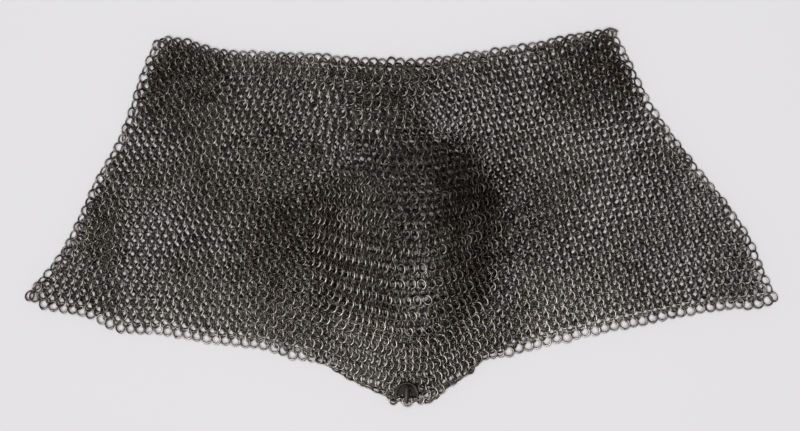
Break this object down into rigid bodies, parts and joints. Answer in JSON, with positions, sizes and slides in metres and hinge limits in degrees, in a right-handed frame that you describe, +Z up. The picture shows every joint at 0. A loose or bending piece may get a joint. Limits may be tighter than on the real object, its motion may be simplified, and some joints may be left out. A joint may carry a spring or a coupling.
{
  "type": "mail breeches",
  "caption": "Short breeches of linked iron rings, laid flat, with a wide waist, two leg openings, a raised codpiece bulge and a pointed crotch gusset with an iron clasp",
  "frame": {"origin": "middle of the laid-out breeches, on the surface they lie on", "axes": "+X along the waist, to the right seen from above; +Y from the crotch to the waist; +Z up from the surface through the front"},
  "size_m": [0.6386, 0.3204, 0.0582],
  "materials": {
    "mail_iron": "drawn iron wire rings, darkened with age, with rubbed bright tops",
    "clasp_iron": "forged iron with a dark brown patina"
  },
  "bodies": {
    "root": {"back_panel": "mail_iron", "front_left": "mail_iron", "front_middle": "mail_iron", "front_right": "mail_iron", "codpiece": "mail_iron", "gusset_back": "mail_iron", "gusset_front": "mail_iron", "hip_fold_left": "mail_iron", "hip_fold_right": "mail_iron", "clasp_plate": "clasp_iron", "clasp_hook": "clasp_iron"}
  },
  "joints": []
}
